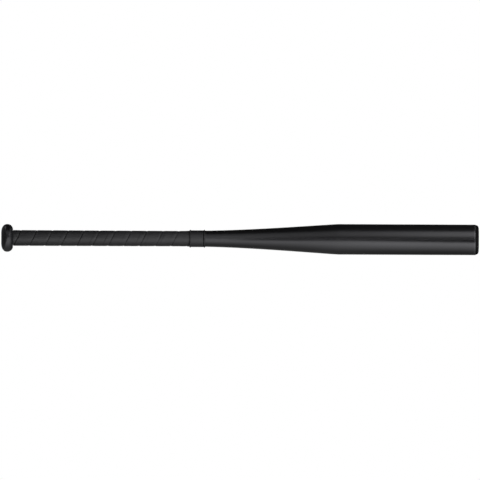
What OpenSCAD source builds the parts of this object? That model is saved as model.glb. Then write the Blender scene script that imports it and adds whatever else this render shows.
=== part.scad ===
// Aluminium baseball bat with a wound grip, sealed by a knob and an end cap.
// The bat lies along +X. The middle of the knob's face is the origin, and the
// end cap's face is at x = bat_len. Profiles are lists of [radius, x].

/* [Bat] */
// Length from the knob's face to the end cap's face
bat_len = 863.6; // [716:0.1:1040]
// Distance from the knob's face to the neck, where the collar ends and the taper starts
handle_len = 368.6; // [300:0.1:445]
// Length of the taper between the neck and the full barrel
taper_len = 241; // [200:1:300]
// Widest diameter of the barrel
barrel_dia = 55.1; // [46:0.1:70]
// Diameter of the bare handle at the knob
handle_dia = 25; // [20:0.1:30]

/* [Tube] */
// Wall of the handle
handle_wall = 2.6; // [1.5:0.1:4]
// Wall of the barrel
barrel_wall = 2.3; // [1.5:0.1:4]
// How much the handle's radius shrinks from the knob to the flare
handle_draw = 0.3; // [0:0.05:1]
// Length of the flare that ends at the neck
flare_len = 50; // [30:1:80]
// How much the radius grows along the flare
neck_rise = 2.5; // [1:0.05:4]
// How gently the taper leaves the neck: 1 is a straight cone
taper_leave = 1.5; // [1:0.05:2.5]
// How softly the taper meets the barrel: 1 is a plain corner
taper_meet = 1.12; // [1:0.01:2.5]
// How much the barrel's radius shrinks towards its end
barrel_draw = 0.05; // [0:0.05:0.8]
// Length over which the barrel draws in, up to the cap's skirt
barrel_draw_len = 85; // [10:1:200]
// Rounding of the tube's mouth, measured along the radius
mouth_round = 0.85; // [0.2:0.05:1.5]
// Rounding of the tube's mouth, measured along the bat
mouth_round_len = 2.2; // [0.5:0.1:4]

/* [Knob] */
// Diameter of the knob
knob_dia = 50.24; // [42:0.01:62]
// Thickness of the knob
knob_len = 21.3; // [17:0.1:26]
// Distance from the knob's face to its widest place
knob_belly = 11.2; // [8:0.1:14]
// Fullness of the knob's front curve: 2 is an ellipse
knob_fullness = 2.3; // [2:0.05:3.5]
// Thickness of the knob's end wall, where the tube's end seats
knob_wall = 7; // [5:0.1:10]
// Leg of the weld bead round the handle
weld_leg = 2; // [1:0.1:3]
// Flat land between the weld and the knob's back curve
knob_land = 0.82; // [0.4:0.02:2]
// Flat ring round the vent plug in the knob's face
face_ring = 3; // [1:0.1:6]

/* [Vent plug] */
// Diameter of the vent hole
vent_dia = 6; // [4:0.1:8]
// Diameter of the plug's head
plug_head_dia = 12; // [9:0.1:14.4]
// Thickness of the plug's head
plug_head_t = 2.5; // [1.5:0.1:3.5]
// How far the plug's barb stands out beyond the vent hole
plug_barb = 0.8; // [0.3:0.05:1.2]
// Length of the barb behind the knob's end wall
plug_barb_len = 3; // [2:0.1:5]

/* [Grip] */
// Thickness of the adhesive under the tape
adhesive_t = 0.25; // [0.2:0.05:0.8]
// Middle thickness of the tape's turns
tape_t = 1.35; // [1:0.05:2.4]
// How much thicker a turn is at the edge that laps the turn before, and thinner at the other
tape_rise = 0.06; // [0:0.01:0.3]
// Share of its thickness that a turn loses at the edge that the next turn laps
tape_sink = 0.35; // [0.1:0.05:0.5]
// Width over which a turn sinks to that edge
tape_sink_w = 4.5; // [2:0.5:8]
// Advance of the tape in one turn
tape_pitch = 28.5; // [22:0.1:36]
// Gap between the edges of neighbouring turns
tape_seam = 0.6; // [0.5:0.05:1.2]
// Place of a seam along the underside, from the knob's face
tape_phase = 21.9; // [10:0.1:30]
// Share of its thickness that the tape loses where it is pulled tight at its end
tape_squeeze = 0.35; // [0.2:0.01:0.5]
// Length over which the tape is pulled tight
tape_squeeze_len = 24; // [10:1:40]
// Gap between the knob's back and the tape
tape_knob_gap = 0.2; // [0.1:0.05:1]
// How far the tape's end runs under the collar
tape_lap = 1.2; // [0.6:0.1:1.4]
// Thickness of the band that holds the tape's end
band_t = 0.18; // [0.15:0.01:0.4]
// Width of that band
band_w = 15; // [8:0.5:18]

/* [Collar] */
// Length of the rubber collar over the tape's end
collar_len = 28; // [22:0.5:36]
// Wall of the collar at its thin end, beside the bead
collar_wall = 0.2; // [0.15:0.01:0.5]
// Wall of the collar's lip, where it laps the tape's end
lip_wall = 0.15; // [0.1:0.01:0.3]
// Width of each bead on the collar
bead_w = 2.3; // [1.5:0.1:4]
// Height of each bead over the collar's lip
bead_h = 1; // [0.3:0.05:1.5]

/* [End cap] */
// Thickness of the cap outside the barrel
cap_t = 5.5; // [4:0.1:9]
// Rounding of the cap's edge, measured along the radius
cap_round = 6.6; // [3:0.1:10]
// Length of the cap's skirt inside the barrel
skirt_len = 14; // [10:0.5:20]
// Wall of the skirt
skirt_wall = 2; // [1.5:0.1:3]
// Height of the snap ridges on the skirt
ridge_h = 0.5; // [0.2:0.05:0.8]
// Number of snap ridges
ridge_count = 3; // [1:1:4]
// Number of ribs behind the cap's face
rib_count = 6; // [4:1:10]
// Thickness of each rib
rib_t = 2; // [1:0.1:3]
// Depth of the ribs
rib_depth = 8; // [4:0.5:9]
// Diameter of the hub where the ribs meet
hub_dia = 12; // [8:0.5:18]
// Diameter of the groove in the cap's face
groove_dia = 30; // [24:0.5:34]
// Width of the groove
groove_w = 1.2; // [0.6:0.1:2]
// Depth of the groove
groove_depth = 0.6; // [0.3:0.05:1.2]

/* [Fits] */
// Clearance between pieces that slide into or over each other
fit_gap = 0.05; // [0.02:0.01:0.1]

/* [Hidden] */

// Sides of the drawn circles, which stand for true circles
round_fn = 96;
// Steps along the flare, the taper, the barrel's draw and each rounded edge
flare_steps = 12;
taper_steps = 36;
draw_steps = 8;
edge_steps = 8;
knob_steps = 14;
// Cross-sections of the tape in one turn
tape_rings = 24;
// Narrowest width at which the tape's slanted ends are cut
tape_tip = 3;
// Width of the rolled edge that laps the turn before, and the share of its thickness that it loses
tape_edge_w = 1.2;
tape_edge = 0.3;

// Radii
barrel_r = barrel_dia / 2;
handle_r = handle_dia / 2;
neck_r = handle_r - handle_draw + neck_rise;
mouth_r = barrel_r - barrel_draw;
knob_r = knob_dia / 2;
knob_bore_r = handle_r + fit_gap;
vent_r = vent_dia / 2;
plug_head_r = plug_head_dia / 2;
knob_flat_r = plug_head_r + face_ring;
knob_back_r = handle_r + weld_leg + knob_land;
skirt_r = mouth_r - barrel_wall - fit_gap;
cap_r = mouth_r - mouth_round;

// Places along the bat
neck_x = handle_len;
flare_x = neck_x - flare_len;
barrel_x = neck_x + taper_len;
mouth_x = bat_len - cap_t;
draw_end_x = mouth_x - skirt_len;
draw_x = draw_end_x - barrel_draw_len;
grip_x = knob_len + tape_knob_gap;
collar_x = neck_x - collar_len;
tape_end_x = collar_x + tape_lap;
band_x = collar_x + 2 * fit_gap;
band_end_x = band_x + band_w;
squeeze_x = tape_end_x - tape_squeeze_len;

// Goes smoothly from 0 to 1 as u does
function ease(u) = let (v = min(1, max(0, u))) v * v * (3 - 2 * v);
// A value between a and b, by share u
function mix(a, b, u) = a + (b - a) * min(1, max(0, u));
// Places from a to b in n steps, without a
function steps(a, b, n) = [for (i = [1 : n]) a + (b - a) * i / n];
// A quarter of a superellipse from [r, x - along] to [r - out, x], without its first point
function rounded_edge(r, x, out, along, n) =
    [for (i = [1 : n]) let (t = 90 * i / n) [r - out * (1 - cos(t)), x - along * (1 - sin(t))]];

// Share of the way from the neck's radius to the barrel's
function swell(x) = let (u = mix(0, 1, (x - neck_x) / taper_len))
    1 - pow(1 - pow(u, taper_leave), taper_meet);
// Outside radius of the tube
function tube_r(x) = handle_r
    - handle_draw * mix(0, 1, (x - grip_x) / (flare_x - grip_x))
    + neck_rise * ease((x - flare_x) / flare_len)
    + (barrel_r - neck_r) * swell(x)
    - barrel_draw * ease((x - draw_x) / barrel_draw_len);
// Wall of the tube
function tube_wall(x) = mix(handle_wall, barrel_wall, (x - flare_x) / (barrel_x - flare_x));

// Places where the tube's outside changes slope
tube_stations = concat([knob_wall, grip_x, flare_x], steps(flare_x, neck_x, flare_steps),
    steps(neck_x, barrel_x, taper_steps), [draw_x], steps(draw_x, draw_end_x, draw_steps));
// Stations of the tube between two places, with both ends
function stations_between(a, b) = concat([a], [for (x = tube_stations) if (x > a && x < b) x], [b]);
// Profile that stands clear above the tube by gap, between two places
function over_tube(a, b, gap) = [for (x = stations_between(a, b)) [tube_r(x) + gap, x]];
function reversed(list) = [for (i = [len(list) - 1 : -1 : 0]) list[i]];

// Turns a profile round the bat's axis
module turned(profile) {
    rotate([0, 90, 0]) rotate_extrude($fn = round_fn) polygon(profile);
}

module bat_tube() {
    outside = [for (x = tube_stations) [tube_r(x), x]];
    inside = [for (x = tube_stations) [tube_r(x) - tube_wall(x), x]];
    mouth = concat([[mouth_r, mouth_x - mouth_round_len]],
        rounded_edge(mouth_r, mouth_x, mouth_round, mouth_round_len, edge_steps));
    color([0.10, 0.10, 0.11])
        turned(concat(outside, mouth, [[mouth_r - barrel_wall, mouth_x]], reversed(inside)));
}

// Front curve of the knob: a superellipse from its flat face out to its widest place
function knob_front() = [for (i = [0 : knob_steps]) let (t = 90 * i / knob_steps, p = 2 / knob_fullness)
    [knob_flat_r + (knob_r - knob_flat_r) * pow(sin(t), p), knob_belly * (1 - pow(cos(t), p))]];
// Back curve of the knob: an ellipse from its widest place in to the land at the weld
function knob_back() = [for (i = [1 : knob_steps]) let (t = 90 * i / knob_steps)
    [knob_back_r + (knob_r - knob_back_r) * cos(t), knob_belly + (knob_len - knob_belly) * sin(t)]];

module knob() {
    vent = [[vent_r, knob_wall], [vent_r, plug_head_t], [plug_head_r + fit_gap, plug_head_t],
        [plug_head_r + fit_gap, 0]];
    seat = [[handle_r + weld_leg, knob_len], [knob_bore_r, knob_len - weld_leg], [knob_bore_r, knob_wall]];
    color([0.10, 0.10, 0.11]) turned(concat(vent, knob_front(), knob_back(), seat));
}

module knob_weld() {
    color([0.10, 0.10, 0.11])
        turned([[handle_r, knob_len - weld_leg], [knob_bore_r, knob_len - weld_leg],
            [handle_r + weld_leg, knob_len], [handle_r, knob_len]]);
}

// Rubber plug: a flush head, a stem through the end wall and a barb behind it
module knob_plug() {
    stem_r = vent_r - fit_gap;
    barb_x = knob_wall + fit_gap;
    color([0.05, 0.05, 0.05])
        turned([[0, 0], [plug_head_r, 0], [plug_head_r, plug_head_t - fit_gap],
            [stem_r, plug_head_t - fit_gap], [stem_r, barb_x], [vent_r + plug_barb, barb_x],
            [stem_r - plug_barb, barb_x + plug_barb_len], [0, barb_x + plug_barb_len]]);
}

module grip_adhesive() {
    color([0.72, 0.70, 0.62])
        turned(concat(over_tube(grip_x, tape_end_x, fit_gap),
            reversed(over_tube(grip_x, tape_end_x, fit_gap + adhesive_t))));
}

// Radius of the tape's underside, clear of the adhesive although its rings are straight-sided
tape_clear = fit_gap + handle_r * (1 - cos(180 / tape_rings));
function tape_base(x) = tube_r(x) + fit_gap + adhesive_t + tape_clear;
// Thickness of the tape at x in a turn whose lapping edge is at edge_x
function tape_height(x, edge_x) =
    (tape_t + tape_rise * (1 - 2 * (x - edge_x) / (tape_pitch - tape_seam)))
    * (1 - tape_squeeze * ease((x - squeeze_x) / tape_squeeze_len));
// Highest that the tape stands over the tube's axis at its end
tape_top_r = tape_base(tape_end_x) + (tape_t + tape_rise) * (1 - tape_squeeze);

// Place of the lapping edge at ring i, counted along the winding
function tape_edge_x(i) = tape_phase + tape_pitch * i / tape_rings;
// Cross-section of the tape at ring i, as six points of [x, radius]
function tape_section(i) = let (
        edge_x = tape_edge_x(i),
        a = max(edge_x, grip_x),
        b = min(edge_x + tape_pitch - tape_seam, tape_end_x),
        e = min(tape_edge_w, (b - a) / 4),
        f = min(tape_sink_w, (b - a) / 3))
    [[a, tape_base(a)], [b, tape_base(b)],
     [b, tape_base(b) + tape_height(b, edge_x) * (1 - tape_sink)],
     [b - f, tape_base(b - f) + tape_height(b - f, edge_x)],
     [a + e, tape_base(a + e) + tape_height(a + e, edge_x)],
     [a, tape_base(a) + tape_height(a, edge_x) * (1 - tape_edge)]];
tape_first = ceil((grip_x + tape_tip - tape_pitch + tape_seam - tape_phase) * tape_rings / tape_pitch);
tape_last = floor((tape_end_x - tape_tip - tape_phase) * tape_rings / tape_pitch);
// The winding runs from the underside to the front and over the top as x grows
function tape_ring(i) = let (t = 360 * i / tape_rings)
    [for (p = tape_section(i)) [p[0], -p[1] * sin(t), -p[1] * cos(t)]];
// Least distance between the points of turns that lie side by side
function turn_gap(rings) = min([for (i = [0 : len(rings) - tape_rings - 2]) for (k = [-1 : 1])
    for (p = rings[i]) for (q = rings[i + tape_rings + k]) norm(p - q)]);

// One strip, wound from the knob to the collar
module grip_tape() {
    rings = [for (i = [tape_first : tape_last]) tape_ring(i)];
    sides = len(rings[0]);
    last = len(rings) - 1;
    walls = [for (i = [0 : last - 1]) for (j = [0 : sides - 1])
        let (a = i * sides + j, b = i * sides + (j + 1) % sides)
            each [[a, b, b + sides], [a, b + sides, a + sides]]];
    first_end = [for (j = [1 : sides - 2]) [0, j + 1, j]];
    last_end = [for (j = [1 : sides - 2]) [last * sides, last * sides + j, last * sides + j + 1]];
    echo(str("Least gap between the tape's turns: ", turn_gap(rings), " mm"));
    color([0.09, 0.09, 0.095])
        polyhedron(points = [for (r = rings) each r], faces = concat(walls, first_end, last_end));
}

// Inside of the finishing band, raised by gap: it laps the tape's end and steps down to the tube
function band_profile(gap) = concat(
    [[tape_top_r + fit_gap + gap, band_x], [tape_top_r + fit_gap + gap, tape_end_x + fit_gap + gap]],
    over_tube(tape_end_x + fit_gap + gap, band_end_x, fit_gap + gap));

module finishing_band() {
    color([0.04, 0.04, 0.045])
        turned(concat(band_profile(0), reversed(band_profile(band_t))));
}

// Outside radius of the collar
collar_r = neck_r + fit_gap + collar_wall;
// Outside radius of the collar's lip, and of both beads at their sides
lip_r = tape_top_r + 2 * fit_gap + band_t + lip_wall;
// Round-topped bead on the collar that starts at x
function bead(x) = [for (i = [0 : edge_steps]) let (t = 180 * i / edge_steps)
    [lip_r + bead_h * sin(t), x + bead_w * (1 - cos(t)) / 2]];

module grip_collar() {
    under = band_profile(band_t + fit_gap);
    below = concat([[under[0][0], collar_x]], under,
        over_tube(band_end_x + fit_gap, neck_x, fit_gap));
    outside = concat(bead(collar_x), [[collar_r, collar_x + bead_w], [collar_r, neck_x - bead_w]],
        bead(neck_x - bead_w));
    color([0.07, 0.07, 0.07]) turned(concat(below, reversed(outside)));
}

// Outside of the skirt, with its snap ridges, from the flange inwards
function skirt_outside() = let (pitch = skirt_len / (ridge_count + 0.5)) concat(
    [[skirt_r - ridge_h, mouth_x]],
    [for (i = [1 : ridge_count]) let (x = mouth_x - i * pitch)
        each [[skirt_r - ridge_h, x + pitch / 2], [skirt_r, x + pitch / 3], [skirt_r, x + pitch / 6],
            [skirt_r - ridge_h, x]]],
    [[skirt_r - ridge_h, mouth_x - skirt_len]]);

module end_cap() {
    skirt_in_r = skirt_r - ridge_h - skirt_wall;
    groove_r = groove_dia / 2;
    face = [[groove_r + groove_w / 2, bat_len], [groove_r + groove_w / 2, bat_len - groove_depth],
        [groove_r - groove_w / 2, bat_len - groove_depth], [groove_r - groove_w / 2, bat_len], [0, bat_len]];
    back = [[0, mouth_x - rib_depth], [hub_dia / 2, mouth_x - rib_depth], [hub_dia / 2, mouth_x],
        [skirt_in_r, mouth_x], [skirt_in_r, mouth_x - skirt_len]];
    color([0.08, 0.08, 0.085]) {
        turned(concat(back, reversed(skirt_outside()), [[cap_r, mouth_x]],
            rounded_edge(cap_r, bat_len, cap_round, cap_t, edge_steps), face));
        for (i = [0 : rib_count - 1])
            rotate([360 * i / rib_count, 0, 0])
                translate([mouth_x - rib_depth, -rib_t / 2, hub_dia / 4])
                    cube([rib_depth + cap_t / 4, rib_t, skirt_in_r + skirt_wall / 2 - hub_dia / 4]);
    }
}

bat_tube();
knob();
knob_weld();
knob_plug();
grip_adhesive();
grip_tape();
finishing_band();
grip_collar();
end_cap();
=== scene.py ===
import math

import bmesh
import bpy
import numpy as np
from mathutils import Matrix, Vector


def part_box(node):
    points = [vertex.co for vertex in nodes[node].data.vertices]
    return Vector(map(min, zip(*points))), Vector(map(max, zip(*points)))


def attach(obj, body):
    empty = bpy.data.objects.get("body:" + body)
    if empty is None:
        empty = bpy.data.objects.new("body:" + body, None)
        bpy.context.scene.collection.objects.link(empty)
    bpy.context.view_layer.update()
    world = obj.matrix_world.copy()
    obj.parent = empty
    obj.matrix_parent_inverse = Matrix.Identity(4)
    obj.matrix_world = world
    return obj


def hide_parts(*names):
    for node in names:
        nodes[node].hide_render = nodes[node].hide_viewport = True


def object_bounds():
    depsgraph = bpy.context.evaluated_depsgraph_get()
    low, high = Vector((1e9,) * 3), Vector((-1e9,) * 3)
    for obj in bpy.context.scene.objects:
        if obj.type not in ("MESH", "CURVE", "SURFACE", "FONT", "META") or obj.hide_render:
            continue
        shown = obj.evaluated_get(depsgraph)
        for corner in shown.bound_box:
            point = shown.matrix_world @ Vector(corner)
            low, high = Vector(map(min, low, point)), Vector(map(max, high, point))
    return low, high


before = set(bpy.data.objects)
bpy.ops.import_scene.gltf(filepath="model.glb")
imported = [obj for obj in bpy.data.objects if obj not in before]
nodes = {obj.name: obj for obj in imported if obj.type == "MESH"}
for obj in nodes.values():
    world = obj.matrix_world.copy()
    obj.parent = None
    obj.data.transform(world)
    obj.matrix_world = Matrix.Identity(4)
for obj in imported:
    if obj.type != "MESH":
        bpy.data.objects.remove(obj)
cad_low, cad_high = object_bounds()
MM = 0.001

# The looks of a baseball bat that lies on a pale studio floor, in metres and in the CAD's frame: x runs
# along the bat's axis from the knob to the barrel's end, z is up and the viewer is at -y.

# ================================================================ places from the frame
BAT_LENGTH = cad_high.x
FLOOR_Z = cad_low.z
KNOB_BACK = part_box("knob")[1].x
tube_low, tube_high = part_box("bat_tube")
tape_low, tape_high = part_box("grip_tape")
collar_low, collar_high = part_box("grip_collar")

# ================================================================ sizes of the visual model
SIDES = 192                     # segments round every turned piece
SAME_PLACE = 2e-7               # vertices this close are one
OUTWARD = 0.02                  # a CAD face that leans outwards by more than this is its node's outside
CLEARANCE = 0.05 * MM           # between pieces that fit into each other, as in part.scad
# Each piece carries a measure of painted shading and wear, which its material reads: 1 is full painted
# shade,
# 0 none, below 0 a painted highlight or painted light, and on the paint -1 is worn bare to metal.
# Its amounts are the constants below that say how much of each a place gets.

# the tube
TUBE_STEP = 2.5 * MM            # spacing of its rings
TUBE_WALL = 2.3 * MM            # its wall, the barrel's all along, because nothing shows the inside
TUBE_INSIDE_RINGS = 60
MOUTH_ROUND = 2.2 * MM          # length of the rounding at its mouth
MOUTH_LIP = 0.3 * MM            # least width of the lip inside that rounding
MOUTH_RUB = 1.3 * MM            # half width of the rubbed ring where the rounding starts
MOUTH_RUB_AMOUNT = 0.4
MOUTH_SHADE_FROM = 0.9 * MM      # painted shade on the seam to the cap starts this far before the mouth's end
MOUTH_SHADE_RISE = 0.6 * MM      # and fully so after this length
MOUTH_SHADE_AMOUNT = 0.8

# the knob, with the inside that part.scad gives it
KNOB_STEP = 0.5 * MM            # spacing of the rings on its outside
KNOB_EDGE = 0.2 * MM            # a ring this far inside its back edge keeps the edge crisp
KNOB_FLAT_R = 9.0 * MM          # flat middle of its face
END_WALL = 7.0 * MM             # wall that ends its bore for the handle
WELD_LEG = 2.0 * MM             # seat of the weld bead round the handle
VENT_R = 3.0 * MM               # vent hole through the end wall
RECESS_R = 6.05 * MM            # recess of the plug's head
RECESS_DEPTH = 2.5 * MM
RECESS_ROUND = 0.25 * MM        # rounding of its edge
KNOB_SHADE_FROM = 7.0 * MM       # painted shade in the knob's neck starts this far before its back
KNOB_SHADE_RISE = 6.0 * MM       # and fully so after this length

# the vent plug
PLUG_HEAD_R = RECESS_R - CLEARANCE
PLUG_HEAD_END = RECESS_DEPTH - CLEARANCE
PLUG_STEM_R = VENT_R - CLEARANCE
PLUG_STEM_END = END_WALL + CLEARANCE
PLUG_BARB = 0.8 * MM            # how far the barb stands out beyond the vent hole
PLUG_BARB_LENGTH = 3.0 * MM
PLUG_FLAT_R = 4.0 * MM          # flat ring of the head's face
PLUG_ROUND = 0.4 * MM           # rounding of the head's rim
DIMPLE_R = 2.2 * MM             # moulded dimple in the middle of the head
DIMPLE_DEPTH = 0.45 * MM
DIMPLE_RINGS = 9

# the wound tape
TAPE_PITCH = 28.5 * MM          # advance of the tape in one turn
TAPE_WIDTH = 31.5 * MM          # width of the strip
TAPE_LAP = TAPE_WIDTH - TAPE_PITCH
TAPE_PHASE = 21.9 * MM          # place of a turn's lapping edge along the underside
TAPE_TURN = 120                 # sections of the strip in one turn
TAPE_SWAY = 1.1 * MM            # how far the strip sways from a true helix, twice in a turn
TAPE_TIP = 3.0 * MM             # width of the strip at its two slanting ends
TAPE_BASE = 0.32 * MM           # height of the strip's underside over the tube, on the adhesive
TAPE_APART = 0.02 * MM          # least room between two laps, and least thickness of a lap
TAPE_SETTLE = 2.5 * MM          # beyond the lap the strip sinks to the adhesive over this length
FIRST_LAP_RISE = 1.5 * MM       # the first lap of the winding grows over this length
WRINKLE_FADE = 3.2 * MM         # wrinkles fade out over this length before the edge under the next turn
TIGHT_LENGTH = 24.0 * MM        # the tape is pulled tight towards its end over this length
TIGHT_SHARE = 0.35              # and loses this share of its height there
LAPPING_EDGE_ROUND = 0.10 * MM  # how far the lapping edge's corner is rounded down
CUT_EDGE_ROUND = 0.25 * MM      # and the corner of the cut at the tape's end
UNDERSIDE_EVERY = 4             # the underside has one vertex for this many of the outside
# outside of the strip: places across it from the lapping edge and heights over the adhesive, in mm
TAPE_SECTION = ((0.0, 0.88), (0.5, 1.04), (1.0, 1.20), (1.5, 1.32), (2.0, 1.40), (2.7, 1.44), (4.0, 1.44),
                (8.0, 1.41), (16.0, 1.39), (22.0, 1.38), (24.5, 1.35), (26.0, 1.26), (27.0, 1.11),
                (27.8, 0.92), (28.5, 0.74), (29.5, 0.60), (31.5, 0.40))
# places across the strip where its sections have vertices, in mm: close together towards both edges
TAPE_NEAR_EDGE = (0.0, 0.12, 0.4, 0.8, 1.2, 1.6, 2.0, 2.5, 3.2, 4.2, 5.6)
TAPE_MIDDLE = np.linspace(7.0, 24.2, 24)
TAPE_FAR_EDGE = (24.9, 25.6, 26.3, 27.0, 27.6, 28.1, 28.5, 29.2, 30.2, 31.2, 31.5)
# shallow waves across the strip: height, length, shift per turn, swing within a turn
TAPE_WAVES = ((0.026 * MM, 13.0 * MM, 1.7, 0.0), (0.020 * MM, 7.5 * MM, 2.9, 2.0))
# hand-wound unevenness at one place across: depth, place, half width, shift per turn, shift
TAPE_NOTCH = (0.14 * MM, 27.6 * MM, 3.4 * MM, 2.2, 0.8)
TAPE_RIM = (0.07 * MM, 2.0 * MM, 3.0 * MM, 1.5, 2.0)
TAPE_LEAST_LOOSE = 0.4          # share of the waves' height in the first turns
TAPE_LOOSE_FROM = 2.0           # the waves grow from this turn on
TAPE_LOOSE_OVER = 4.0           # over this many turns
# small folds in the strip: place along the winding in turns, place across the strip in mm, strength
TAPE_FOLDS = ((1.7, 12.0, 0.5), (2.25, 20.0, 0.4), (3.8, 18.0, 0.7), (4.2, 21.0, 0.6), (5.25, 17.7, 1.0),
              (5.75, 9.0, 0.6), (6.3, 19.5, 0.6), (7.25, 19.0, 1.0), (7.7, 20.0, 0.8), (8.2, 7.0, 0.5),
              (8.8, 15.0, 0.6), (9.25, 6.0, 1.0), (9.35, 20.0, 0.5), (10.7, 17.0, 0.7))
FOLD_REACH = 0.2                # a fold runs this far along the winding both ways, in turns
FOLD_WIDTH = 1.5 * MM           # its half width
FOLD_DEPTH = 0.16 * MM
RIDGE_BESIDE = 4.0 * MM         # a ridge lies this far beside each fold
RIDGE_WIDTH = 3.0 * MM          # its half width
RIDGE_HEIGHT = 0.12 * MM
# painted shade in the tape's seams and folds, painted highlights beside them, and painted light towards the
# collar
SEAM_BEYOND = 0.6 * MM          # the seam's painted shade lies this far beyond each edge
SEAM_WIDTH = 1.5 * MM           # its half width
SEAM_SHADE_AMOUNT = 1.1
HIGHLIGHT_BEFORE_SEAM = (26.4 * MM, 2.6 * MM, 1.0)    # painted highlights on the ridges by the seams: place across, half width, share
HIGHLIGHT_AFTER_SEAM = (3.4 * MM, 2.0 * MM, 0.5)
SEAM_HIGHLIGHT_AMOUNT = 0.45
# painted shade in the folds, and painted highlight on the ridges beside them
FOLD_SHADE_AMOUNT = 0.5
RIDGE_HIGHLIGHT_AMOUNT = 0.2
DARKEST_SEAM_SIDE = math.radians(100)   # the seams' painted shade is darkest here round the handle, and opposite
LIGHTEST_SEAM_SHARE = 0.40           # share of their painted shade that is left a quarter turn from there
TAPE_PAINTED_LIGHT_FROM = 170 * MM      # painted light: the tape grows paler towards the collar from here
TAPE_PAINTED_LIGHT_OVER = 80 * MM       # over this length
TAPE_PAINTED_LIGHT = 0.16

# the collar
BEAD_WIDTH = 2.3 * MM           # length of each bead along the bat
BEAD_RINGS = 17
# foot of a bead on the sleeve: distances from the bead
FOOT_TOP = 0.02 * MM
FOOT_MIDDLE = 0.12 * MM
FOOT_END = 0.35 * MM
FOOT_TOP_SHARE = 0.4            # share of the bead's lip that its foot starts with
FOOT_HEIGHT = 0.05 * MM         # height of the foot's middle over the sleeve
SLEEVE_INSET = 0.6 * MM         # the sleeve's rings keep this far from the beads
SLEEVE_RINGS = 24
SLEEVE_FROM = 6.0 * MM          # the sleeve's radius is read from the CAD collar past this length
LIP_WALL = 0.15 * MM            # wall of the collar's lip over the tape
LIP_LENGTH = 1.6 * MM
COLLAR_SHADE_START = (0.4 * MM, 1.2 * MM)    # painted shade at its start: distance inwards, half width
COLLAR_SHADE_BEAD = (0.1 * MM, 1.3 * MM)     # and before its last bead: distance outwards, half width

# the end cap
CAP_STEP = 0.35 * MM            # spacing of the rings on its rounded edge
GROOVE_R = 15.0 * MM            # middle of the shallow groove in its face
GROOVE_WIDTH = 1.2 * MM
GROOVE_DEPTH = 0.6 * MM
GROOVE_ROUND = 0.2 * MM         # rounding of the groove's corners
GROOVE_LEG = 1.0 * MM           # leg on the flat face that the rounding starts from
FACE_RINGS = np.linspace(12.0, 0.0, 5) * MM
HUB_R = 6.0 * MM                # hub behind the face
HUB_LENGTH = 8.0 * MM
SKIRT_R = 24.65 * MM            # outside of the skirt, between its snap ridges
SKIRT_WALL = 2.0 * MM
SKIRT_LENGTH = 14.0 * MM
CAP_SHADE_FROM = 20.0 * MM       # painted shade on the cap's rounded edge, outside this radius
CAP_SHADE_RISE = 3.0 * MM        # and fully so after this length
CAP_SHADE_AMOUNT = 0.7

# ================================================================ sizes and levels of the studio
FLOOR_REACH = 12.0              # half the floor's side
SKY_REACH = 300 * MM            # how far the floor looks for what keeps the sky off it
# the shadow that the camera sees
SOFT_DEPTH = 0.16               # brightness of the floor right under the bat
SOFT_OPEN = 0.93                # share of open sky from which the floor is white
# the shadow that everything else sees
SHADOW_CORE = 4 * MM            # the floor is darkest this near the line under the bat
SHADOW_EDGE = 55 * MM           # and open to the sky from here on
SHADOW_HANDLE = 0.16            # brightness of the floor in the shadow's core, under the handle
SHADOW_BARREL = 0.06            # and under the barrel
BARREL_SHADOW_FROM = 80 * MM    # one changes into the other from here, past the bat's middle
BARREL_SHADOW_TO = 300 * MM     # to here
SKY_SHUT = 0.2                  # share of open sky that counts as none
SKY_OPEN = 0.8                  # and as all of it
FLOOR_BOUNCE = 0.40             # brightness of the open floor as dull surfaces see it
FLOOR_GLOSS = 0.69              # and as gloss sees it beside the handle
HORIZON_LOW = 0.03              # slant of the sky where it starts to darken
HORIZON_HIGH = 0.04             # and where it is the dim studio
STUDIO_DIM = 0.015              # brightness of that studio
CARD_BLACK = (0.02, 0.02, 0.02)
CARD_GAP = 1.0 * MM             # the cards stand this far over the floor
# the low card before the barrel: places along the bat and distances in front of it (metres)
BARREL_CARD = ((0.395, 0.112), (0.45, 0.112), (0.52, 0.118), (0.56, 0.132), (0.61, 0.155),
               (0.68, 0.120), (0.75, 0.098), (0.84, 0.082), (1.0, 0.068))
BARREL_CARD_TOP = 0.0           # height of its top, level with the bat's axis
# the leaning card past the knob
KNOB_CARD_FOOT = -0.003         # its foot's place along the bat
KNOB_CARD_HEAD = -0.30          # its head's place
KNOB_CARD_TOP = 0.5             # and height
KNOB_CARD_FRONT = -1.2          # it runs from here in front of the bat
KNOB_CARD_REAR = 2.5            # to here behind it
KNOB_CARD_GLOW = 0.06           # it isn't quite black
# the camera
VIEW_WIDTH = 867.7 * MM         # width of the photograph's frame on the bat
VIEW_MIDDLE_X = 431.7 * MM      # place on the bat in the middle of the frame
VIEW_MIDDLE_Z = -2.0 * MM
VIEW_TURN = math.radians(-0.249)    # the barrel's end is a trace lower in the frame
VIEW_DISTANCE = 3.0
VIEW_REACH = 50.0               # the camera sees this far


# ================================================================ curves and profiles
def ease(u):
    """Goes smoothly from 0 to 1 as u does."""
    u = np.clip(u, 0.0, 1.0)
    return u * u * (3.0 - 2.0 * u)


def bump_at(x, centre, width):
    """A smooth hump of height 1 and the given half width."""
    return ease(1.0 - np.abs(x - centre) / width)


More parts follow.
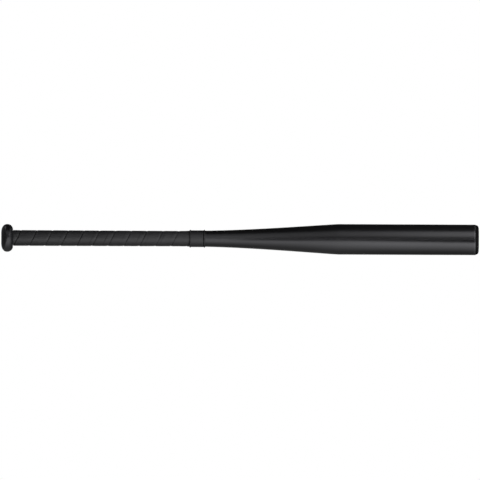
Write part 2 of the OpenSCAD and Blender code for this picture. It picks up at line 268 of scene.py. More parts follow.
def through(t, y, at):
    """A curve through the points (t, y) that never swings past them, read at the places `at`."""
    t, y, at = (np.asarray(a, float) for a in (t, y, at))
    step = np.diff(t)
    rise = np.diff(y) / step
    slope = np.zeros(len(t))
    both = rise[:-1] * rise[1:] > 0
    w1, w2 = 2 * step[1:] + step[:-1], step[1:] + 2 * step[:-1]
    inner = np.zeros(len(t) - 2)
    inner[both] = (w1 + w2)[both] / (w1[both] / rise[:-1][both] + w2[both] / rise[1:][both])
    slope[1:-1] = inner
    slope[0], slope[-1] = rise[0], rise[-1]
    i = np.clip(np.searchsorted(t, at, side="right") - 1, 0, len(t) - 2)
    h = step[i]
    u = (at - t[i]) / h
    return ((1 + 2 * u) * (1 - u) ** 2 * y[i] + u * (1 - u) ** 2 * h * slope[i]
            + u * u * (3 - 2 * u) * y[i + 1] + u * u * (u - 1) * h * slope[i + 1])


def skin(node):
    """The outside of a turned CAD node, as rising [x, radius] points: the rings of its outward faces."""
    mesh = nodes[node].data
    points = set()
    for face in mesh.polygons:
        middle, normal = face.center, face.normal
        from_axis = max(1e-9, math.hypot(middle.y, middle.z))
        if (normal.y * middle.y + normal.z * middle.z) / from_axis > OUTWARD:
            for i in face.vertices:
                co = mesh.vertices[i].co
                points.add((round(co.x, 6), round(math.hypot(co.y, co.z), 5)))
    widest = {}
    for x, r in points:
        widest[x] = max(r, widest.get(x, 0.0))
    return np.array([[x, widest[x]] for x in sorted(widest)])


def refined(profile, step):
    """The same profile as a smooth curve, with points about a step apart along it."""
    along = np.concatenate([[0], np.cumsum(np.hypot(*np.diff(profile, axis=0).T))])
    at = np.linspace(0, along[-1], max(2, int(round(along[-1] / step)) + 1))
    return np.c_[through(along, profile[:, 0], at), through(along, profile[:, 1], at)]


def rounded(corner_in, corner, corner_out, radius, count=5):
    """Points that round one corner of a profile, between the legs to its two neighbours."""
    a, b, c = (np.asarray(p, float) for p in (corner_in, corner, corner_out))
    p = b + (a - b) / np.linalg.norm(a - b) * radius
    q = b + (c - b) / np.linalg.norm(c - b) * radius
    u = np.linspace(0, 1, count)[:, None]
    return (1 - u) ** 2 * p + 2 * u * (1 - u) * b + u * u * q


# ================================================================ meshes
def finish_mesh(name, bm, sharp=50.0):
    """Makes a mesh object of its bmesh, smooth except where faces meet at more than `sharp` degrees."""
    bmesh.ops.remove_doubles(bm, verts=bm.verts, dist=SAME_PLACE)
    bmesh.ops.recalc_face_normals(bm, faces=bm.faces)
    mesh = bpy.data.meshes.new(name)
    bm.to_mesh(mesh)
    bm.free()
    for face in mesh.polygons:
        face.use_smooth = True
    mesh.set_sharp_from_angle(angle=math.radians(sharp))
    piece = bpy.data.objects.new(name, mesh)
    bpy.context.scene.collection.objects.link(piece)
    return piece


def add_ring(bm, layer, points, angles):
    """New vertices at [x, radius, painted shading] points, each at its angle round the axis from the
    underside on.
    """
    ring = []
    for (x, r, painted_shading_and_wear), angle in zip(points, angles):
        vert = bm.verts.new((x, -r * math.sin(angle), -r * math.cos(angle)))
        vert[layer] = float(painted_shading_and_wear)
        ring.append(vert)
    return ring


def join_rings(bm, rings):
    """Faces between each ring of vertices and the next."""
    for ring, following in zip(rings, rings[1:]):
        for i in range(len(ring)):
            j = (i + 1) % len(ring)
            bm.faces.new((ring[i], ring[j], following[j], following[i]))


def turned(name, profile, sharp=50.0, painted_shading_and_wear=lambda x, r: 0.0):
    """Turns a closed [x, radius] profile round the bat's axis. Its material can read the painted shading and
    wear at (x, r).
    """
    bm = bmesh.new()
    layer = bm.verts.layers.float.new("painted_shading_and_wear")
    angles = np.linspace(0, 2 * math.pi, SIDES, endpoint=False)
    rings = [add_ring(bm, layer, [(x, r, painted_shading_and_wear(x, r))] * SIDES, angles) for x, r in profile]
    join_rings(bm, rings + rings[:1])
    bmesh.ops.remove_doubles(bm, verts=bm.verts, dist=SAME_PLACE)
    bmesh.ops.dissolve_degenerate(bm, edges=bm.edges, dist=SAME_PLACE)
    return finish_mesh(name, bm, sharp)


def placed(piece, node, material):
    """Puts a piece on the bat's one body in place of a CAD node, with its finish."""
    piece.data.materials.append(material)
    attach(piece, "root")
    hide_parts(node)


# ================================================================ materials
NOISE = (0.3, 0.7)              # between these a noise has nearly all of its values


class Shader:
    """A material's node tree, built by short calls."""

    def __init__(self, name):
        self.material = bpy.data.materials.new(name)
        self.material.use_nodes = True
        self.tree = self.material.node_tree
        self.tree.nodes.clear()
        self.output = self.tree.nodes.new("ShaderNodeOutputMaterial")
        self.surface = self.tree.nodes.new("ShaderNodeBsdfPrincipled")
        self.tree.links.new(self.surface.outputs[0], self.output.inputs["Surface"])
        self.place = self.tree.nodes.new("ShaderNodeTexCoord").outputs["Object"]

    def node(self, kind, **values):
        """A new node with the given settings."""
        made = self.tree.nodes.new(kind)
        for key, value in values.items():
            setattr(made, key, value)
        return made

    def link(self, source, target):
        self.tree.links.new(source, target)

    def set(self, **values):
        """Sets sockets of the surface shader by name, with _ for a space."""
        for key, value in values.items():
            socket = self.surface.inputs[key.replace("_", " ")]
            socket.default_value = (*value, 1.0) if isinstance(value, tuple) else value

    def mapped(self, **values):
        """The place on the object, moved by Location or stretched by Scale."""
        mapping = self.node("ShaderNodeMapping")
        for key, value in values.items():
            mapping.inputs[key].default_value = value
        self.link(self.place, mapping.inputs["Vector"])
        return mapping.outputs[0]

    def noise(self, scale, detail=2.0, roughness=0.5, vector=None):
        """A cloudy noise, `scale` of whose lumps go into a metre."""
        made = self.node("ShaderNodeTexNoise")
        made.inputs["Scale"].default_value = scale
        made.inputs["Detail"].default_value = detail
        made.inputs["Roughness"].default_value = roughness
        self.link(vector or self.place, made.inputs["Vector"])
        return made.outputs["Fac"]

    def cells(self, scale):
        """Distance from the middle of the nearest cell, `scale` of which go into a metre."""
        made = self.node("ShaderNodeTexVoronoi")
        made.inputs["Scale"].default_value = scale
        self.link(self.place, made.inputs["Vector"])
        return made.outputs["Distance"]

    def range(self, value, low, high, to_low=0.0, to_high=1.0, kind="LINEAR"):
        """The value, changed so that low to high becomes to_low to to_high, and kept between them."""
        made = self.node("ShaderNodeMapRange", interpolation_type=kind)
        self.link(value, made.inputs["Value"])
        for key, number in (("From Min", low), ("From Max", high), ("To Min", to_low), ("To Max", to_high)):
            made.inputs[key].default_value = number
        return made.outputs[0]

    def math(self, operation, a, b=0.0):
        """One step of arithmetic on sockets or plain numbers."""
        made = self.node("ShaderNodeMath", operation=operation)
        for socket, value in zip(made.inputs, (a, b)):
            if isinstance(value, (int, float)):
                socket.default_value = value
            else:
                self.link(value, socket)
        return made.outputs[0]

    def blend(self, value, low, high, start, end):
        """A colour that goes from low to high as the value goes from start to end."""
        made = self.node("ShaderNodeValToRGB")
        for point, position, colour in zip(made.color_ramp.elements, (start, end), (low, high)):
            point.position = position
            point.color = (*colour, 1.0)
        self.link(value, made.inputs["Fac"])
        return made.outputs["Color"]

    def scaled(self, colour, by):
        """The colour, made lighter or darker."""
        made = self.node("ShaderNodeVectorMath", operation="SCALE")
        self.link(colour, made.inputs[0])
        self.link(by, made.inputs["Scale"])
        return made.outputs[0]

    def colour(self, source):
        self.link(source, self.surface.inputs["Base Color"])

    def roughness(self, source):
        self.link(source, self.surface.inputs["Roughness"])

    def painted_shading_and_wear(self):
        """The piece's own measure of painted shading and wear: up to 1 of painted shade in its creases and
        seams, below 0 a painted highlight, or paint worn through to metal.
        """
        return self.node("ShaderNodeAttribute", attribute_name="painted_shading_and_wear").outputs["Fac"]

    def dull_in_painted_shade(self, painted_shading_and_wear):
        """Painted shade: takes the gloss off the creases and seams that are marked as shaded."""
        self.link(self.blend(painted_shading_and_wear, (1.0, 1.0, 1.0), (0.15, 0.15, 0.15), 0.0, 1.0),
                  self.surface.inputs["Specular Tint"])

    def bump(self, height, distance, strength=1.0, after=None):
        """Relief of a height times a distance in metres, on top of another where one comes before it."""
        made = self.node("ShaderNodeBump")
        made.inputs["Strength"].default_value = strength
        made.inputs["Distance"].default_value = distance
        self.link(height, made.inputs["Height"])
        if after is not None:
            self.link(after, made.inputs["Normal"])
        self.link(made.outputs[0], self.surface.inputs["Normal"])
        return made.outputs[0]


def satin_paint(name, seed):
    """Baked satin black over metal: fine orange peel, faint cloudiness, a trace of metal where worn through,
    and painted shade that takes the gloss off the knob's neck and the seam to the cap.
    """
    s = Shader(name)
    s.set(IOR=1.66, Coat_Roughness=0.3, Coat_IOR=1.66, Specular_IOR_Level=0.5, Specular_Tint=(0.9, 0.9, 1.0))
    place = s.mapped(Location=(seed, seed * 0.7, seed * 1.3))
    cloud = s.noise(28.0, detail=3.0, vector=place)
    black = s.blend(cloud, (0.0028, 0.0028, 0.0029), (0.0036, 0.0036, 0.0038), *NOISE)
    painted_shading_and_wear = s.painted_shading_and_wear()
    worn = s.range(painted_shading_and_wear, -1.0, 0.0, to_low=1.0, to_high=0.0)
    s.colour(s.scaled(black, s.range(worn, 0.0, 1.0, to_low=1.0, to_high=40.0)))
    s.link(worn, s.surface.inputs["Metallic"])
    # painted shade thins the coat here and roughens the paint below, which takes the gloss off where the
    # piece is marked shaded
    s.link(s.range(painted_shading_and_wear, 0.0, 1.0, to_low=1.0, to_high=0.1), s.surface.inputs["Coat Weight"])
    rub = s.noise(9.0, detail=4.0, roughness=0.6, vector=place)
    fine = s.noise(420.0, vector=place)
    even = s.math("ADD", s.range(rub, 0.35, 0.7, 0.31, 0.37), s.range(fine, *NOISE, -0.01, 0.01))
    rougher = s.math("ADD", even, s.range(painted_shading_and_wear, 0.0, 1.0, to_high=0.5))
    s.roughness(s.math("SUBTRACT", rougher, s.range(worn, 0.0, 1.0, to_high=0.2)))
    s.bump(s.noise(700.0, detail=1.0, roughness=0.4, vector=place), 0.012 * MM)
    return s.material


def grip_leatherette(name):
    """Soft polyurethane wrap: a fine pebbled grain with patches a little paler and rougher, painted shade in
    its seams and folds and painted highlights beside them.
    """
    s = Shader(name)
    s.set(IOR=1.6, Specular_IOR_Level=0.7)
    patches = s.noise(55.0, detail=3.0)
    plain = s.blend(patches, (0.033, 0.033, 0.0355), (0.046, 0.046, 0.049), *NOISE)
    painted_shading_and_wear = s.painted_shading_and_wear()
    # painted shade darkens the seams and folds and takes their gloss off; below 0, painted highlights and
    # painted light make the tape paler
    s.colour(s.scaled(plain, s.range(painted_shading_and_wear, -0.5, 1.0, to_low=1.45, to_high=0.1)))
    s.dull_in_painted_shade(painted_shading_and_wear)
    grain = s.cells(1100.0)
    pores = s.noise(2600.0)
    dents = s.noise(240.0, roughness=0.6)
    worn = s.math("ADD", s.range(patches, *NOISE, 0.44, 0.52), s.range(grain, 0.0, 0.8, 0.05, -0.05))
    s.roughness(s.math("ADD", worn, s.range(painted_shading_and_wear, 0.0, 1.0, to_high=0.45)))
    first = s.bump(dents, 0.5 * MM, strength=0.6)
    second = s.bump(grain, 0.09 * MM, strength=0.7, after=first)
    s.bump(pores, 0.03 * MM, strength=0.5, after=second)
    return s.material


def moulded_rubber(name, rough, grain):
    """Moulded rubber: nearly black, dull, with a fine tooth and faint flow marks along the bat."""
    s = Shader(name)
    s.set(IOR=1.5, Specular_IOR_Level=1.0)
    flow = s.noise(60.0, detail=3.0, vector=s.mapped(Scale=(0.25, 1.0, 1.0)))
    plain = s.blend(flow, (0.0290, 0.0290, 0.0320), (0.0390, 0.0390, 0.0425), *NOISE)
    painted_shading_and_wear = s.painted_shading_and_wear()
    # painted shade darkens it and takes its gloss off where the piece is marked shaded
    s.colour(s.scaled(plain, s.range(painted_shading_and_wear, 0.0, 1.0, to_low=1.0, to_high=0.1)))
    s.dull_in_painted_shade(painted_shading_and_wear)
    marks = s.range(flow, *NOISE, rough - 0.04, rough + 0.04)
    s.roughness(s.math("ADD", marks, s.range(painted_shading_and_wear, 0.0, 1.0, to_high=0.5)))
    s.bump(s.noise(grain), 0.03 * MM, strength=0.6)
    return s.material


def moulded_plastic(name):
    """Moulded polymer with a fine spark-eroded texture."""
    s = Shader(name)
    s.set(IOR=1.46, Specular_IOR_Level=0.22)
    cloud = s.noise(45.0)
    painted_shading_and_wear = s.painted_shading_and_wear()
    plain = s.blend(cloud, (0.0075, 0.0075, 0.0078), (0.0105, 0.0105, 0.0110), *NOISE)
    # painted shade darkens the cap's edge and takes its gloss off
    s.colour(s.scaled(plain, s.range(painted_shading_and_wear, 0.0, 1.0, to_low=1.0, to_high=0.1)))
    s.dull_in_painted_shade(painted_shading_and_wear)
    s.roughness(s.range(cloud, *NOISE, 0.58, 0.66))
    s.bump(s.noise(1800.0), 0.03 * MM, strength=0.7)
    return s.material


def plain_film(name, low, high, rough):
    """A thin film or band: slight colour variation and faint stretch marks round the bat."""
    s = Shader(name)
    s.set(IOR=1.45)
    stretch = s.noise(120.0, vector=s.mapped(Scale=(1.0, 0.2, 0.2)))
    s.colour(s.blend(stretch, low, high, *NOISE))
    s.roughness(s.range(stretch, *NOISE, rough - 0.05, rough + 0.05))
    s.bump(stretch, 0.02 * MM, strength=0.4)
    return s.material


# ================================================================ pieces
TUBE_SKIN = skin("bat_tube")


def tube_radius(x):
    """Outside radius of the tube at x."""
    return np.interp(x, TUBE_SKIN[:, 0], TUBE_SKIN[:, 1])


def make_tube(material):
    """The painted alloy tube, from the CAD tube's own outline."""
    mouth_start = tube_high.x - MOUTH_ROUND
    in_mouth = TUBE_SKIN[:, 0] > mouth_start + SAME_PLACE / 2
    mouth, long_part = TUBE_SKIN[in_mouth], TUBE_SKIN[~in_mouth]
    x = np.arange(long_part[0, 0], mouth_start - MM, TUBE_STEP)
    x = np.concatenate([x, [mouth_start - MM, mouth_start]])
    r = through(long_part[:, 0], long_part[:, 1], x)
    inside_x = np.linspace(tube_high.x, tube_low.x, TUBE_INSIDE_RINGS)
    inside_r = np.interp(inside_x, long_part[:, 0], long_part[:, 1]) - TUBE_WALL
    inside_r = np.minimum(inside_r, mouth[-1, 1] - MOUTH_LIP)
    profile = np.concatenate([np.c_[x, r], mouth, np.c_[inside_x, inside_r]])

    def painted_shading_and_wear(x, r):
        # painted shade on the seam to the cap, and a ring of paint worn to metal where the mouth's rounding
        # starts
        seam = ease((x - tube_high.x + MOUTH_SHADE_FROM) / MOUTH_SHADE_RISE)
        rub_and_highlight = bump_at(x, mouth_start, MOUTH_RUB)
        return MOUTH_SHADE_AMOUNT * seam - MOUTH_RUB_AMOUNT * rub_and_highlight

    placed(turned("tube_visual", profile, painted_shading_and_wear=painted_shading_and_wear), "bat_tube", material)


def make_knob(material):
    """The cast knob: crowned face round the vent plug, full belly, curved back and the weld's seat."""
    outside = skin("knob")
    back_x, back_r = outside[-1]
    handle_r = TUBE_SKIN[0, 1]
    bore_r = handle_r + CLEARANCE
    seat = [[back_x, back_r - KNOB_EDGE], [KNOB_BACK, handle_r + WELD_LEG], [KNOB_BACK - WELD_LEG, bore_r]]
    bore = [[END_WALL, bore_r], [END_WALL, VENT_R], [RECESS_DEPTH, VENT_R], [RECESS_DEPTH, RECESS_R]]
    lip = rounded([RECESS_DEPTH, RECESS_R], [0.0, RECESS_R], [0.0, KNOB_FLAT_R], RECESS_ROUND)
    profile = np.concatenate([refined(outside, KNOB_STEP), seat, bore, lip])

    def painted_shading_and_wear(x, r):
        # painted shade in the knob's neck, towards the tape
        return ease((x - KNOB_BACK + KNOB_SHADE_FROM) / KNOB_SHADE_RISE)

    placed(turned("knob_visual", profile, sharp=60.0, painted_shading_and_wear=painted_shading_and_wear), "knob", material)


def make_plug(material):
    """The vent plug's flush head, stem and barb, with a softened rim and a moulded dimple."""
    dimple = [[DIMPLE_DEPTH * (1 + math.cos(math.pi * u)) / 2, DIMPLE_R * u]
              for u in np.linspace(0, 1, DIMPLE_RINGS)]
    rim = rounded([0.0, PLUG_FLAT_R], [0.0, PLUG_HEAD_R], [PLUG_HEAD_END, PLUG_HEAD_R], PLUG_ROUND, count=7)
    stem = [[PLUG_HEAD_END, PLUG_HEAD_R], [PLUG_HEAD_END, PLUG_STEM_R], [PLUG_STEM_END, PLUG_STEM_R]]
    tip_x = PLUG_STEM_END + PLUG_BARB_LENGTH
    barb = [[PLUG_STEM_END, VENT_R + PLUG_BARB], [tip_x, PLUG_STEM_R - PLUG_BARB], [tip_x, 0.0]]
    profile = np.concatenate([dimple, [[0.0, PLUG_FLAT_R]], rim, stem, barb])
    placed(turned("knob_plug_visual", profile, sharp=45.0), "knob_plug", material)


# ---------------------------------------------------------------- the wound tape
def strip_outside(u):
    """Height of the strip's outside over the adhesive, u across it from its lapping edge."""
    across, height = (np.array(TAPE_SECTION) * MM).T
    return through(across, height, np.clip(u, 0.0, TAPE_WIDTH))


def strip_underside(u, has_before):
    """Height of its underside: over the turn before where it laps that, then down to the adhesive. The
    winding's first lap has nothing under it: has_before grows from 0 to 1 there."""
    over = strip_outside(np.minimum(u + TAPE_PITCH, TAPE_WIDTH)) + TAPE_APART
    settled = 1.0 - ease((u - TAPE_LAP) / TAPE_SETTLE)
    return has_before * over * np.where(u < TAPE_LAP, 1.0, settled)


def strip_tightness(x):
    """Share of the strip's height that is left where it is pulled tight under the collar."""
    return 1.0 - TIGHT_SHARE * ease((x - (tape_high.x - TIGHT_LENGTH)) / TIGHT_LENGTH)


def strip_wrinkles(u, turn, angle):
    """Shallow waves, and a notch and a rim beside the seams that are deeper in some turns than in others."""
    loose = TAPE_LEAST_LOOSE + (1.0 - TAPE_LEAST_LOOSE) * ease((turn - TAPE_LOOSE_FROM) / TAPE_LOOSE_OVER)
    wrinkles = np.zeros_like(u)
    for height, length, shift, swing in TAPE_WAVES:
        phase = 2 * math.pi * u / length + shift * turn + swing * math.sin(angle)
        wrinkles += loose * height * np.sin(phase)
    for depth, place, width, per_turn, shift in (TAPE_NOTCH, TAPE_RIM):
        wrinkles += depth * math.sin(per_turn * turn + shift) * bump_at(u, place, width)
    return wrinkles


def strip_folds(u, turn):
    """How much of a fold lies at each place across the strip, and of the ridge beside it."""
    fold, ridge = np.zeros_like(u), np.zeros_like(u)
    for at_turn, place, strength in TAPE_FOLDS:
        share = strength * ease(1.0 - abs(turn - at_turn) / FOLD_REACH)
        fold += share * bump_at(u, place * MM, FOLD_WIDTH)
        ridge += share * bump_at(u, place * MM + RIDGE_BESIDE, RIDGE_WIDTH)
    return fold, ridge


def strip_painted_shading(u, x, turn, angle, fold, ridge):
    """Painted shade in the seams and folds, darkest on two sides of the handle and uneven from turn to turn,
    painted highlights on the ridges beside them, and painted light towards the collar.
    """
    seam = np.maximum(bump_at(u, SEAM_BEYOND, SEAM_WIDTH), bump_at(u, TAPE_PITCH + SEAM_BEYOND, SEAM_WIDTH))
    # painted highlights on the ridges beside the seams, and at the tube's mouth a ring of paint worn to
    # metal
    rub_and_highlight = np.zeros_like(u)
    for place, width, share in (HIGHLIGHT_BEFORE_SEAM, HIGHLIGHT_AFTER_SEAM):
        rub_and_highlight += share * bump_at(u, place, width)
    # the seams' painted shade is darkest on one side of the handle and on the side opposite
    by_side = LIGHTEST_SEAM_SHARE + (1.0 - LIGHTEST_SEAM_SHARE) * math.cos(angle - DARKEST_SEAM_SIDE) ** 8
    # rates that don't fit into a turn, so that no two turns are alike
    by_turn = 0.80 + 0.20 * math.sin(1.9 * turn)
    by_place = 0.82 + 0.30 * math.sin(2.6 * angle) * math.sin(1.3 * turn + 0.7)
    patchy = by_side * by_turn * by_place
    # painted light: the tape grows paler towards the collar
    paler = TAPE_PAINTED_LIGHT * ease((x - TAPE_PAINTED_LIGHT_FROM) / TAPE_PAINTED_LIGHT_OVER)
    painted_shading_and_wear = patchy * (SEAM_SHADE_AMOUNT * seam - SEAM_HIGHLIGHT_AMOUNT * rub_and_highlight) + FOLD_SHADE_AMOUNT * fold - RIDGE_HIGHLIGHT_AMOUNT * ridge - paler
    return np.clip(painted_shading_and_wear, -0.5, 1.0)


def strip_section(number, places):
    """One section of the strip, as [x, radius, painted shading] points over its outside and back under it,
    and its angle round the handle from the underside on. Where the strip passes the tape's ends it is cut
    off."""
    turn = number / TAPE_TURN
    angle = 2 * math.pi * turn
    edge = TAPE_PHASE + TAPE_PITCH * turn - TAPE_SWAY * math.sin(2 * angle)
    low = max(0.0, tape_low.x - edge)
    high = min(TAPE_WIDTH, tape_high.x - edge)
    u = low + (high - low) * places
    x = edge + u
    base = tube_radius(x) + TAPE_BASE
    tightness = strip_tightness(x)
    has_before = ease((edge + TAPE_LAP - tape_low.x) / FIRST_LAP_RISE)
    below = base + strip_underside(u, has_before) * tightness
    fold, ridge = strip_folds(u, turn)
    relief = strip_wrinkles(u, turn, angle) + RIDGE_HEIGHT * ridge - FOLD_DEPTH * fold
    above = base + (strip_outside(u) + relief * ease((TAPE_WIDTH - u) / WRINKLE_FADE)) * tightness
    above[0] -= LAPPING_EDGE_ROUND
    if high < TAPE_WIDTH:
        above[-1] -= CUT_EDGE_ROUND
    above = np.maximum(above, below + TAPE_APART)
    painted_shading_and_wear = strip_painted_shading(u, x, turn, angle, fold, ridge)
    back = list(range(len(u) - 1, 0, -UNDERSIDE_EVERY)) + [0]
    # the underside gets full painted shade, which darkens the lapping edge's face and the strip's cut ends
    return [*zip(x, above, painted_shading_and_wear)] + [(x[k], below[k], 1.0) for k in back], angle


def make_tape(material):
    """One strip wound over its own edge. Each turn laps 3 mm of the turn before, which sinks to a notch
    beside the lapping edge, and the hand-wound strip wrinkles a little from turn to turn."""
    places = np.concatenate([TAPE_NEAR_EDGE, TAPE_MIDDLE, TAPE_FAR_EDGE]) * MM / TAPE_WIDTH
    first = math.ceil((tape_low.x + TAPE_TIP - TAPE_WIDTH - TAPE_PHASE) * TAPE_TURN / TAPE_PITCH)
    last = math.floor((tape_high.x - TAPE_TIP - TAPE_PHASE) * TAPE_TURN / TAPE_PITCH)
    bm = bmesh.new()
    layer = bm.verts.layers.float.new("painted_shading_and_wear")
    rings = []
    for number in range(first, last + 1):
        points, angle = strip_section(number, places)
        rings.append(add_ring(bm, layer, points, [angle] * len(points)))
    join_rings(bm, rings)
    bm.faces.new(rings[0])
    bm.faces.new(rings[-1])
    placed(finish_mesh("grip_tape_visual", bm, sharp=55.0), "grip_tape", material)


# ---------------------------------------------------------------- the collar and the cap
def make_collar(material):
    """The rubber collar: a thin sleeve with a round bead at each end, stretched over the neck."""
    low, high = collar_low.x, collar_high.x
    outside = skin("grip_collar")
    lip = outside[0, 1]
    land = outside[outside[:, 0] > low + SLEEVE_FROM][0, 1]
    near_bead, far_bead = low + BEAD_WIDTH, high - BEAD_WIDTH

    def bead(x):
        return [[x + BEAD_WIDTH * (1 - math.cos(t)) / 2, lip + (collar_high.z - lip) * math.sin(t)]
                for t in np.linspace(0, math.pi, BEAD_RINGS)]

    foot = [[near_bead + FOOT_TOP, land + FOOT_TOP_SHARE * (lip - land)],
            [near_bead + FOOT_MIDDLE, land + FOOT_HEIGHT], [near_bead + FOOT_END, land]]
    far_foot = [[low + high - x, r] for x, r in reversed(foot)]
    sleeve_x = np.linspace(near_bead + SLEEVE_INSET, far_bead - SLEEVE_INSET, SLEEVE_RINGS)
    sleeve = [[x, land] for x in sleeve_x]
    under_x = np.linspace(high, low, SLEEVE_RINGS)
    under_r = tube_radius(under_x) + CLEARANCE
    under_r[under_x < low + LIP_LENGTH] = lip - LIP_WALL
    profile = np.concatenate([bead(low), foot, sleeve, far_foot, bead(far_bead), np.c_[under_x, under_r]])

    def painted_shading_and_wear(x, r):
        # painted shade at the collar's start and just before its last bead
        at_start = bump_at(x, low + COLLAR_SHADE_START[0], COLLAR_SHADE_START[1])
        at_bead = bump_at(x, far_bead - COLLAR_SHADE_BEAD[0], COLLAR_SHADE_BEAD[1])
        return max(at_start, at_bead)

    piece = turned("grip_collar_visual", profile, sharp=65.0, painted_shading_and_wear=painted_shading_and_wear)
    placed(piece, "grip_collar", material)


def make_cap(material):
    """The end cap: rounded edge, flat face with its groove, and the skirt and hub inside the barrel."""
    outside = skin("end_cap")
    mouth_x, face_x = tube_high.x, cad_high.x
    edge = refined(outside[outside[:, 0] >= mouth_x - SAME_PLACE / 2], CAP_STEP)
    outer, inner = GROOVE_R + GROOVE_WIDTH / 2, GROOVE_R - GROOVE_WIDTH / 2
    bottom = face_x - GROOVE_DEPTH
    way = [[face_x, outer + GROOVE_LEG], [face_x, outer], [bottom, outer], [bottom, inner], [face_x, inner],
           [face_x, inner - GROOVE_LEG]]
    corners = zip(way, way[1:], way[2:])
    groove = np.concatenate([rounded(*corner, GROOVE_ROUND) for corner in corners])
    face = [[face_x, r] for r in FACE_RINGS]
    hub = [[mouth_x - HUB_LENGTH, 0.0], [mouth_x - HUB_LENGTH, HUB_R], [mouth_x, HUB_R]]
    end_x, skirt_in_r = mouth_x - SKIRT_LENGTH, SKIRT_R - SKIRT_WALL
    skirt = [[mouth_x, skirt_in_r], [end_x, skirt_in_r], [end_x, SKIRT_R], [mouth_x, SKIRT_R]]
    profile = np.concatenate([edge, groove, face, hub, skirt])

    def painted_shading_and_wear(x, r):
        # painted shade on the cap's rounded edge
        return CAP_SHADE_AMOUNT * ease((r - CAP_SHADE_FROM) / CAP_SHADE_RISE)

    placed(turned("end_cap_visual", profile, sharp=60.0, painted_shading_and_wear=painted_shading_and_wear), "end_cap", material)


make_tube(satin_paint("satin_black_tube", seed=0.0))
make_knob(satin_paint("satin_black_knob", seed=3.1))
make_plug(moulded_rubber("plug_rubber", rough=0.62, grain=1500.0))
make_tape(grip_leatherette("grip_leatherette"))
make_collar(moulded_rubber("collar_rubber", rough=0.44, grain=1300.0))
make_cap(moulded_plastic("cap_plastic"))

# the CAD nodes that stay, all inside the finished bat
HIDDEN_FINISHES = {
    "knob_weld": satin_paint("satin_black_weld", seed=5.7),
    "grip_adhesive": plain_film("adhesive_film", (0.50, 0.47, 0.38), (0.58, 0.55, 0.45), rough=0.5),
    "finishing_band": plain_film("vinyl_band", (0.008, 0.008, 0.008), (0.012, 0.012, 0.012), rough=0.35),
}
for node_name, finish in HIDDEN_FINISHES.items():
    nodes[node_name].data.materials.clear()
    nodes[node_name].data.materials.append(finish)


# ================================================================ studio
def floor_material():
    """Pale floor. The camera sees it white, with a soft shadow round the bat. Everything else sees a narrow,
    darker shadow along the bat, and beside it gloss sees a white floor, dimmer beside the handle, and dull
    surfaces see a dim one."""
    s = Shader("pale_floor")
    split = s.node("ShaderNodeSeparateXYZ")
    s.link(s.place, split.inputs[0])
    along, across = split.outputs["X"], split.outputs["Y"]
    path = s.node("ShaderNodeLightPath")
    camera, glossy = path.outputs["Is Camera Ray"], path.outputs["Is Glossy Ray"]
    sky = s.node("ShaderNodeAmbientOcclusion", samples=8)
    sky.inputs["Distance"].default_value = SKY_REACH

    # the narrow shadow, round the line under the bat
    past_end = s.math("MAXIMUM", s.math("SUBTRACT", s.math("ABSOLUTE", along), BAT_LENGTH / 2))
    squares = s.math("ADD", s.math("MULTIPLY", past_end, past_end), s.math("MULTIPLY", across, across))
    away = s.range(s.math("SQRT", squares), SHADOW_CORE, SHADOW_EDGE, kind="SMOOTHSTEP")
    open_sky = s.range(sky.outputs["AO"], SKY_SHUT, SKY_OPEN)
    shadow = s.math("SUBTRACT", 1.0, s.math("MINIMUM", away, open_sky))
    by_barrel = s.range(along, BARREL_SHADOW_FROM, BARREL_SHADOW_TO, kind="SMOOTHSTEP")
    deepest = s.range(by_barrel, 0.0, 1.0, 1.0 - SHADOW_HANDLE, 1.0 - SHADOW_BARREL)
    shade = s.math("SUBTRACT", 1.0, s.math("MULTIPLY", shadow, deepest))

    # how bright the floor beside it is to each kind of ray
    bright = s.math("MAXIMUM", s.math("MAXIMUM", camera, glossy), path.outputs["Is Transmission Ray"])
    dimmer = s.math("MULTIPLY", glossy, s.range(by_barrel, 0.0, 1.0, 1.0 - FLOOR_GLOSS, 0.0))
    level = s.math("SUBTRACT", s.range(bright, 0.0, 1.0, FLOOR_BOUNCE, 1.0), dimmer)

    as_seen = s.range(sky.outputs["AO"], 0.0, SOFT_OPEN, SOFT_DEPTH, 1.0)
    to_camera = s.math("MULTIPLY", camera, as_seen)
    to_others = s.math("MULTIPLY", s.math("SUBTRACT", 1.0, camera), s.math("MULTIPLY", shade, level))
    white = s.node("ShaderNodeEmission")
    s.link(s.math("ADD", to_camera, to_others), white.inputs["Strength"])
    s.link(white.outputs[0], s.output.inputs["Surface"])
    s.tree.nodes.remove(s.surface)
    return s.material


def make_floor():
    """A wide plain floor that the bat lies on."""
    bm = bmesh.new()
    corners = [(-1, -1), (1, -1), (1, 1), (-1, 1)]
    bm.faces.new([bm.verts.new((x * FLOOR_REACH, y * FLOOR_REACH, 0.0)) for x, y in corners])
    floor = finish_mesh("floor", bm)
    floor.location = (BAT_LENGTH / 2, 0.0, FLOOR_Z)
    floor.data.materials.append(floor_material())


def area_lamp(name, place, aim_x, length, width, radiance, glossy=True, diffuse=True):
    """A softbox at a place, turned to the bat's axis at aim_x, with its length level."""
    data = bpy.data.lights.new(name, "AREA")
    data.shape = "RECTANGLE"
    data.size, data.size_y = length, width
    data.energy = radiance * math.pi * length * width
    lamp = bpy.data.objects.new(name, data)
    bpy.context.scene.collection.objects.link(lamp)
    lamp.location = place
    facing = Vector((aim_x, 0, 0)) - Vector(place)
    lamp.rotation_euler = facing.to_track_quat("-Z", "Y").to_euler()
    lamp.visible_camera = False
    lamp.visible_glossy = glossy
    lamp.visible_diffuse = diffuse


def beside(x, angle_up, distance):
    """A place beside the bat, seen from its axis at x and at an angle over the front."""
    a = math.radians(angle_up)
    return (x, -distance * math.cos(a), distance * math.sin(a))


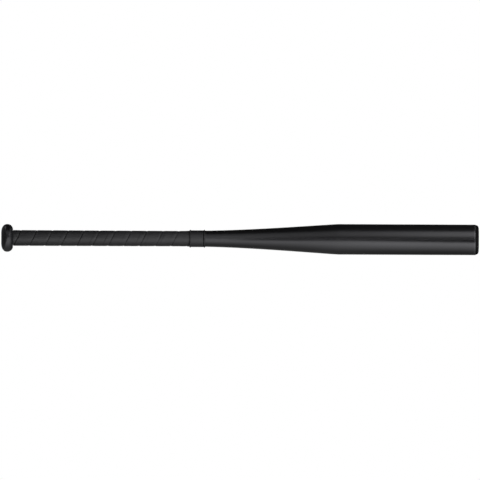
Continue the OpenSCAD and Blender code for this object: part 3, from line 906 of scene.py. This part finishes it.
def make_lamps():
    """The key light over the front, whose reflection is the long highlight, and smaller fills and panels."""
    key_x, end_x, taper_x = 0.78, 1.14, 0.365
    rear_x = BAT_LENGTH / 2
    area_lamp("key", beside(key_x, angle_up=42.5, distance=0.9), aim_x=key_x,
              length=2.3, width=0.66, radiance=0.22, diffuse=False)
    area_lamp("key_end", beside(end_x, angle_up=42, distance=0.89), aim_x=end_x,
              length=0.8, width=0.66, radiance=0.6)
    area_lamp("front_fill", (1.35, -0.56, 0.02), aim_x=0.15,
              length=0.9, width=0.14, radiance=26.0, glossy=False)
    area_lamp("rear_fill", (-0.45, 1.05, 0.30), aim_x=0.70,
              length=1.2, width=0.6, radiance=3.0, glossy=False)
    area_lamp("taper_panel", beside(taper_x, angle_up=18, distance=0.5), aim_x=taper_x,
              length=0.11, width=0.22, radiance=0.5, diffuse=False)
    area_lamp("knob_side", (-0.60, 0.25, 1.15), aim_x=0.43,
              length=0.9, width=0.5, radiance=0.4, diffuse=False)
    area_lamp("barrel_side", (1.46, 0.25, 1.15), aim_x=0.43,
              length=0.9, width=0.5, radiance=0.5, diffuse=False)
    area_lamp("rear", beside(rear_x, angle_up=171, distance=1.2), aim_x=rear_x,
              length=3.0, width=0.16, radiance=1.0)
    area_lamp("plug_fill", (-0.6, 0.1, 0.1), aim_x=0.0,
              length=0.3, width=0.3, radiance=9.0, glossy=False)


def make_card(name, foot, head, glow, hidden_from=()):
    """A black studio card between the points of its foot and its head. The camera can't see it."""
    bm = bmesh.new()
    low = [bm.verts.new(point) for point in foot]
    high = [bm.verts.new(point) for point in head]
    for i in range(len(low) - 1):
        bm.faces.new((low[i], low[i + 1], high[i + 1], high[i]))
    card = finish_mesh(name, bm)
    s = Shader(name + "_black")
    s.set(Base_Color=CARD_BLACK, Roughness=1.0, Specular_IOR_Level=0.0)
    s.set(Emission_Color=(1.0, 1.0, 1.0), Emission_Strength=glow)
    card.data.materials.append(s.material)
    for ray in ("camera", "transmission", "shadow", "volume_scatter") + hidden_from:
        setattr(card, "visible_" + ray, False)


def make_cards():
    """A low card before the barrel, which the barrel's gloss shows as the dark line between two highlights:
    its top slopes up from the floor beside the taper. And a card past the knob, which leans away from the
    bat and shows in the knob's gloss as its dark rim."""
    low = FLOOR_Z + CARD_GAP
    foot = [(x, -in_front, low) for x, in_front in BARREL_CARD]
    top = [(x, -in_front, BARREL_CARD_TOP) for x, in_front in BARREL_CARD]
    make_card("barrel_card", foot, foot[:1] + top[1:], glow=0.0, hidden_from=("diffuse",))
    foot = [(KNOB_CARD_FOOT, y, low) for y in (KNOB_CARD_FRONT, KNOB_CARD_REAR)]
    head = [(KNOB_CARD_HEAD, y, KNOB_CARD_TOP) for y in (KNOB_CARD_FRONT, KNOB_CARD_REAR)]
    make_card("knob_card", foot, head, glow=KNOB_CARD_GLOW)


def make_world():
    """White at the horizon and below it, and a dim studio above."""
    world = bpy.data.worlds.new("studio")
    bpy.context.scene.world = world
    world.use_nodes = True
    tree = world.node_tree
    tree.nodes.clear()
    out = tree.nodes.new("ShaderNodeOutputWorld")
    background = tree.nodes.new("ShaderNodeBackground")
    place = tree.nodes.new("ShaderNodeTexCoord")
    split = tree.nodes.new("ShaderNodeSeparateXYZ")
    height = tree.nodes.new("ShaderNodeMapRange")
    tree.links.new(place.outputs["Generated"], split.inputs[0])
    tree.links.new(split.outputs["Z"], height.inputs["Value"])
    levels = {"From Min": HORIZON_LOW, "From Max": HORIZON_HIGH, "To Min": 1.0, "To Max": STUDIO_DIM}
    for key, value in levels.items():
        height.inputs[key].default_value = value
    tree.links.new(height.outputs[0], background.inputs["Strength"])
    background.inputs["Color"].default_value = (1.0, 1.0, 1.0, 1.0)
    tree.links.new(background.outputs[0], out.inputs["Surface"])


def make_camera():
    """The photograph's view: square from the front and without perspective, as from far away."""
    data = bpy.data.cameras.new("camera")
    data.type = "ORTHO"
    data.ortho_scale = VIEW_WIDTH
    data.clip_end = VIEW_REACH
    camera = bpy.data.objects.new("camera", data)
    bpy.context.scene.collection.objects.link(camera)
    camera.location = (VIEW_MIDDLE_X, -VIEW_DISTANCE, VIEW_MIDDLE_Z)
    camera.rotation_euler = (math.radians(90), VIEW_TURN, 0)
    bpy.context.scene.camera = camera


make_floor()
make_lamps()
make_cards()
make_world()
make_camera()
bpy.context.scene.view_settings.view_transform = "Standard"
